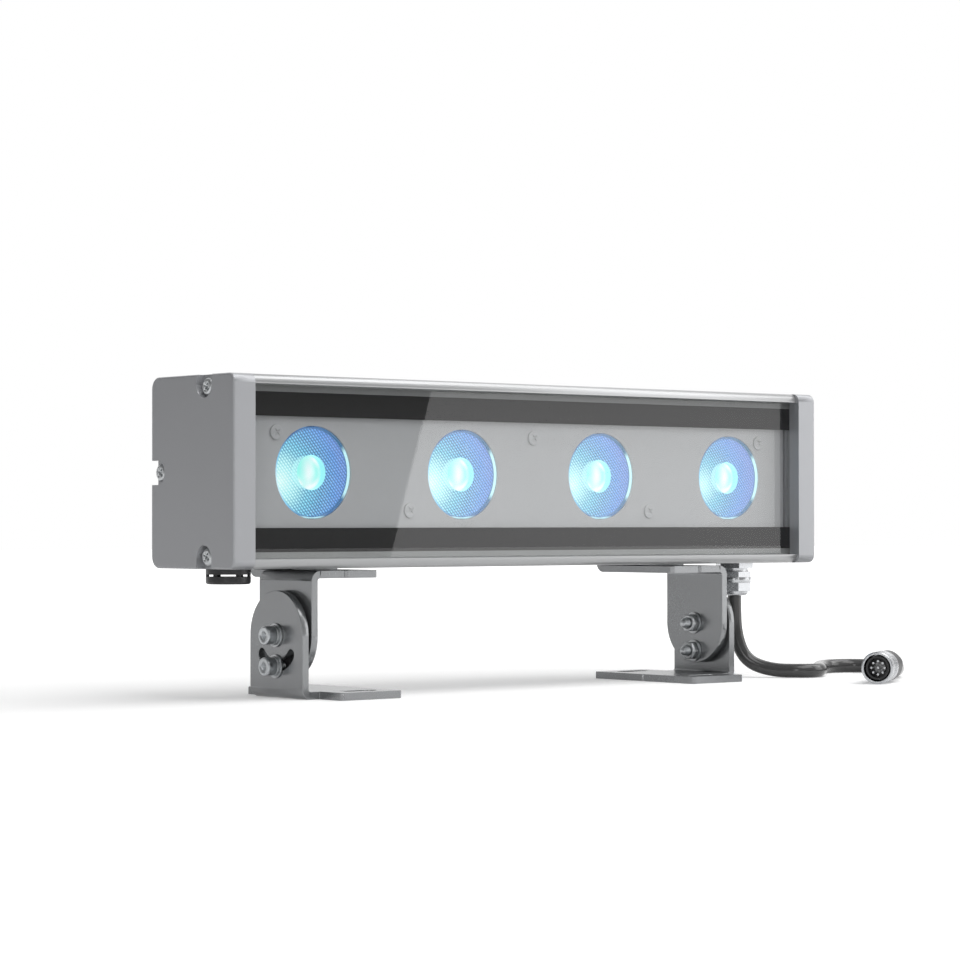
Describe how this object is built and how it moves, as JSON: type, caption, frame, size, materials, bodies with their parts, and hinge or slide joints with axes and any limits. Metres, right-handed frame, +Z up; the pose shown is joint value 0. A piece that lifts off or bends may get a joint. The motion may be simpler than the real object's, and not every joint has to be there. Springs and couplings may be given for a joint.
{
  "type": "linear wall washer light",
  "caption": "Slim outdoor linear wall washer: lens row behind glass in an extruded housing, tilting on slotted sheet-metal feet, with cord and screw connector.",
  "frame": {"origin": "centre of the bottom of the light without its cord: on the surface that the feet stand on, straight under the tilt axis, midway between the feet", "axes": "+X along the housing to the cable gland's end, -Y out of the lit front, +Z up"},
  "size_m": [0.3571, 0.1177, 0.122],
  "materials": {
    "housing": "satin anodised",
    "end_cap": "fine powder coat",
    "bracket": "satin powder coat",
    "fastener": "bright zinc",
    "glass": "clear",
    "grey_silicone": "matte",
    "black_enamel": "satin",
    "lens_plate": "matte paint",
    "lens": "lit, textured",
    "lens_holder": "moulded",
    "led": "lit",
    "circuit_board": "solder mask",
    "board_parts": "moulded",
    "thermal_pad": "matte",
    "gasket": "matte",
    "leg_washer": "moulded",
    "vent": "moulded",
    "gland": "nickel plated",
    "cord": "smooth jacket",
    "plug_moulding": "moulded",
    "plug_metal": "nickel plated"
  },
  "bodies": {
    "feet": {"foot_bracket_left": "bracket", "foot_bracket_right": "bracket", "pivot_bolts": "fastener", "pivot_washers": "fastener", "pivot_nuts": "fastener", "supply_cord": "cord", "connector_body": "plug_moulding", "connector_insert": "plug_moulding", "connector_pins": "plug_metal"},
    "head": {"bracket_screws": "fastener", "bracket_spacers": "fastener", "cap_screws_left": "fastener", "cap_screws_right": "fastener", "driver_board": "circuit_board", "driver_parts": "board_parts", "end_cap_left": "end_cap", "end_cap_right": "end_cap", "end_gasket_left": "gasket", "end_gasket_right": "gasket", "front_glass": "glass", "gland_body": "gland", "gland_nut": "gland", "gland_seal": "gasket", "glass_border": "black_enamel", "glass_seal": "grey_silicone", "head_bracket_left": "bracket", "head_bracket_right": "bracket", "housing_profile": "housing", "led_1": "led", "led_2": "led", "led_3": "led", "led_4": "led", "led_board": "circuit_board", "leg_washers": "leg_washer", "lens_1": "lens", "lens_2": "lens", "lens_3": "lens", "lens_4": "lens", "lens_holder_1": "lens_holder", "lens_holder_2": "lens_holder", "lens_holder_3": "lens_holder", "lens_holder_4": "lens_holder", "lens_plate": "lens_plate", "lock_bolts": "fastener", "lock_nuts": "fastener", "lock_washers": "fastener", "plate_screws": "fastener", "plate_standoffs": "fastener", "thermal_pad": "thermal_pad", "vent_plug": "vent", "vent_seal": "gasket"},
    "ring": {"coupling_ring": "plug_metal"}
  },
  "joints": [
    {"name": "head_tilt", "type": "hinge", "parent": "feet", "child": "head", "pos_m": [0, 0, 0.024], "axis": [1, 0, 0], "range_deg": [-50, 50], "deforming": ["supply_cord"]},
    {"name": "ring_spin", "type": "hinge", "parent": "feet", "child": "ring", "pos_m": [0.1326, -0.0815, 0.0067], "axis": [0.842, 0.5394, 0], "continuous": true}
  ]
}
